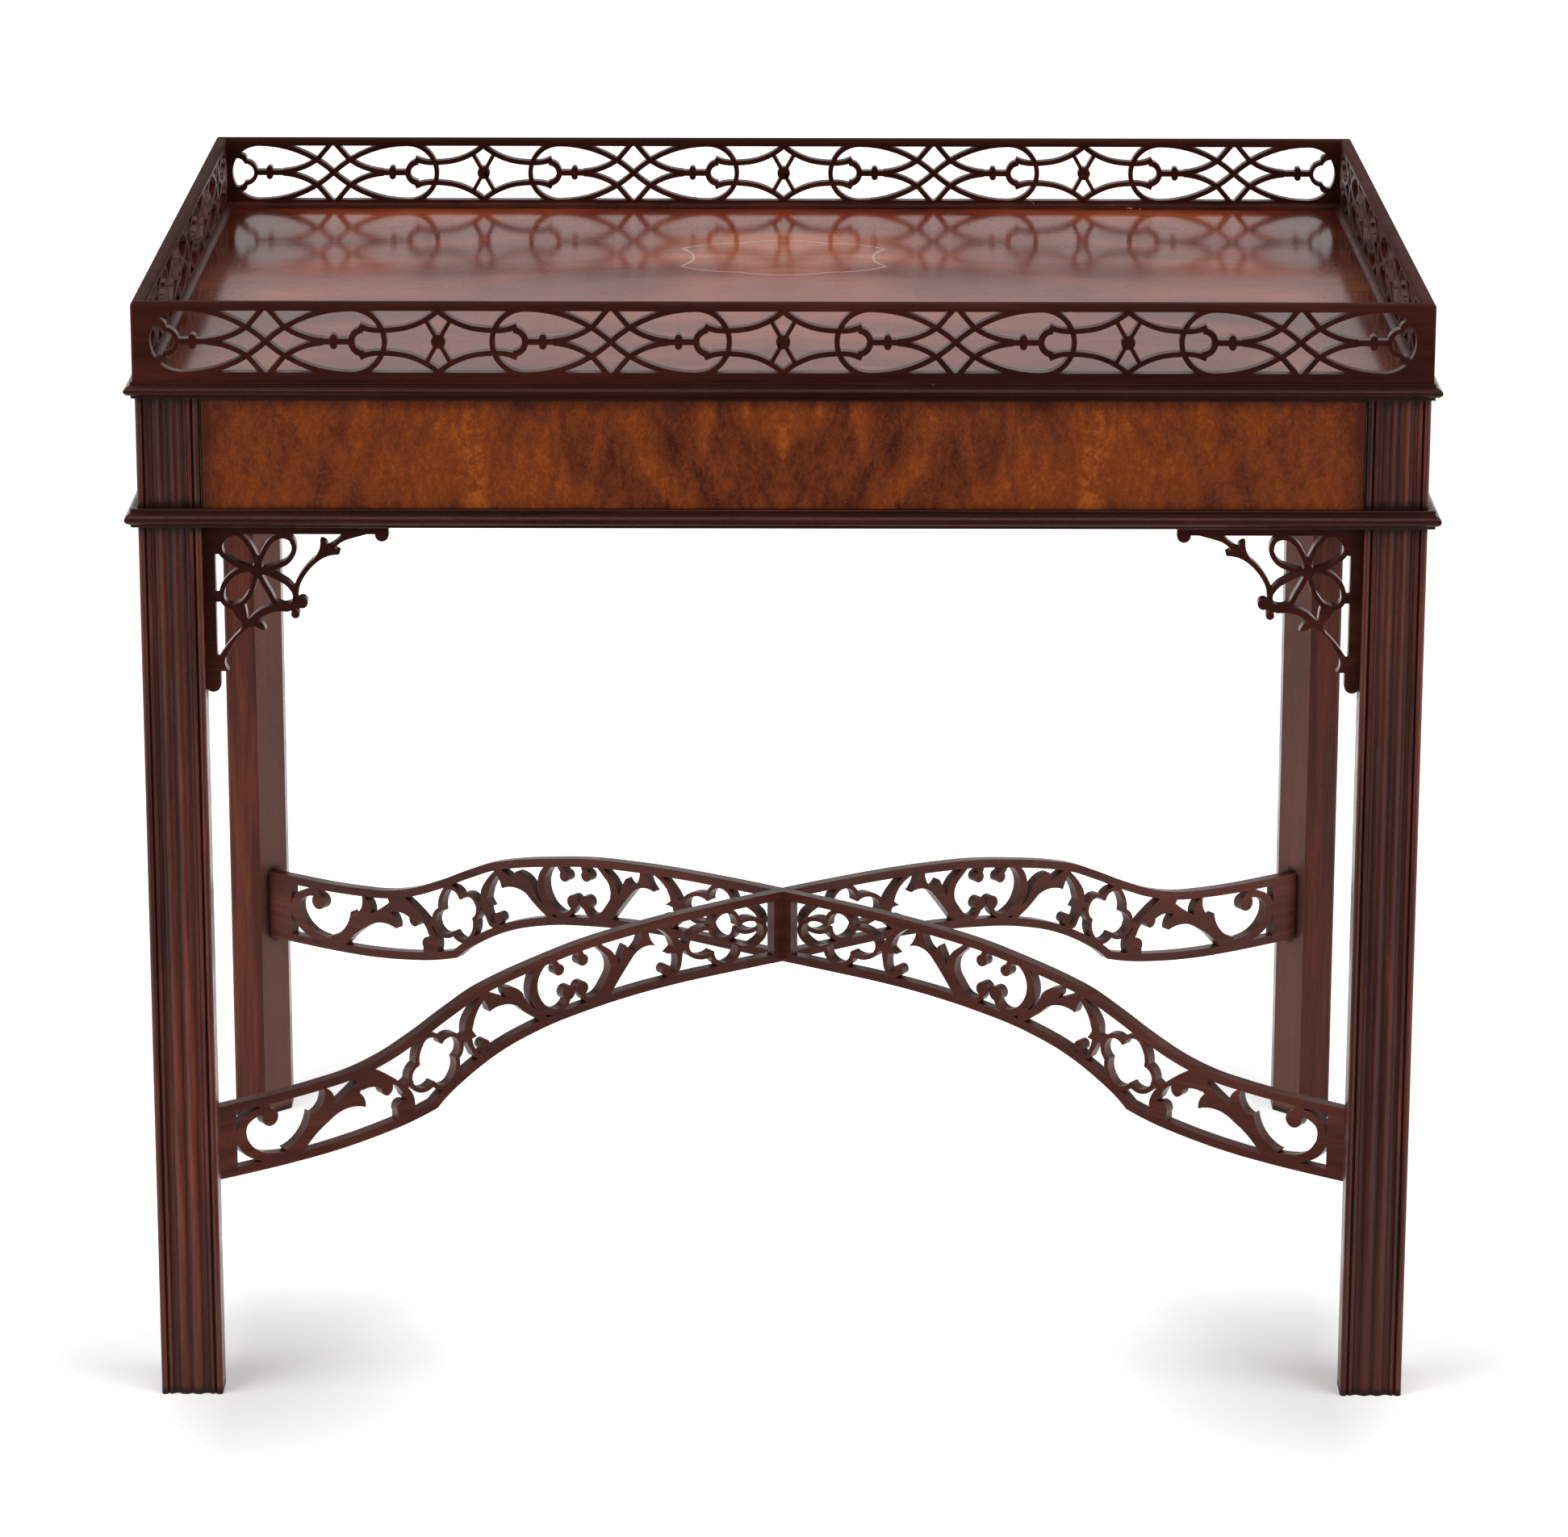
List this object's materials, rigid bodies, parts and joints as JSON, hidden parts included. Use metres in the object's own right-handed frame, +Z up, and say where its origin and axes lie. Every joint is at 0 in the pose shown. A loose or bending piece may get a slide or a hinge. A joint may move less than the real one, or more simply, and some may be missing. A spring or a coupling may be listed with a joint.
{
  "type": "tea table",
  "caption": "Rectangular tea table with a pierced gallery round a veneered top, square moulded legs, pierced corner brackets and an arched, pierced cross stretcher.",
  "frame": {"origin": "on the floor, under the middle of the top", "axes": "+X along the long side, to the right seen from the front; -Y to the front; +Z up"},
  "size_m": [0.8266, 0.6136, 0.727],
  "materials": {
    "leg_mahogany": "satin, waxed",
    "gallery_mahogany": "satin, waxed",
    "fret_mahogany": "satin, waxed",
    "moulding_mahogany": "satin, waxed",
    "board_mahogany": "satin, waxed",
    "frieze_veneer": "polished, figured",
    "top_veneer": "polished, figured",
    "inlay": "polished",
    "inner_wood": "unfinished",
    "screw_steel": "dull"
  },
  "bodies": {
    "root": {"bracket_back_left": "fret_mahogany", "bracket_back_right": "fret_mahogany", "bracket_front_left": "fret_mahogany", "bracket_front_right": "fret_mahogany", "bracket_left_left": "fret_mahogany", "bracket_left_right": "fret_mahogany", "bracket_right_left": "fret_mahogany", "bracket_right_right": "fret_mahogany", "corner_block_back_left": "inner_wood", "corner_block_back_right": "inner_wood", "corner_block_front_left": "inner_wood", "corner_block_front_right": "inner_wood", "frieze_rail_back": "inner_wood", "frieze_rail_front": "inner_wood", "frieze_rail_left": "inner_wood", "frieze_rail_right": "inner_wood", "frieze_veneer_back": "frieze_veneer", "frieze_veneer_front": "frieze_veneer", "frieze_veneer_left": "frieze_veneer", "frieze_veneer_right": "frieze_veneer", "gallery_back": "gallery_mahogany", "gallery_cove_back": "moulding_mahogany", "gallery_cove_front": "moulding_mahogany", "gallery_cove_left": "moulding_mahogany", "gallery_cove_right": "moulding_mahogany", "gallery_front": "gallery_mahogany", "gallery_left": "gallery_mahogany", "gallery_right": "gallery_mahogany", "leg_back_left": "leg_mahogany", "leg_back_right": "leg_mahogany", "leg_front_left": "leg_mahogany", "leg_front_right": "leg_mahogany", "lower_moulding_back": "moulding_mahogany", "lower_moulding_front": "moulding_mahogany", "lower_moulding_left": "moulding_mahogany", "lower_moulding_right": "moulding_mahogany", "stretcher_falling_right": "fret_mahogany", "stretcher_rising_right": "fret_mahogany", "top_board": "board_mahogany", "top_inlay": "inlay", "top_screws": "screw_steel", "top_veneer_left": "top_veneer", "top_veneer_right": "top_veneer", "upper_moulding_back": "moulding_mahogany", "upper_moulding_front": "moulding_mahogany", "upper_moulding_left": "moulding_mahogany", "upper_moulding_right": "moulding_mahogany"}
  },
  "joints": []
}
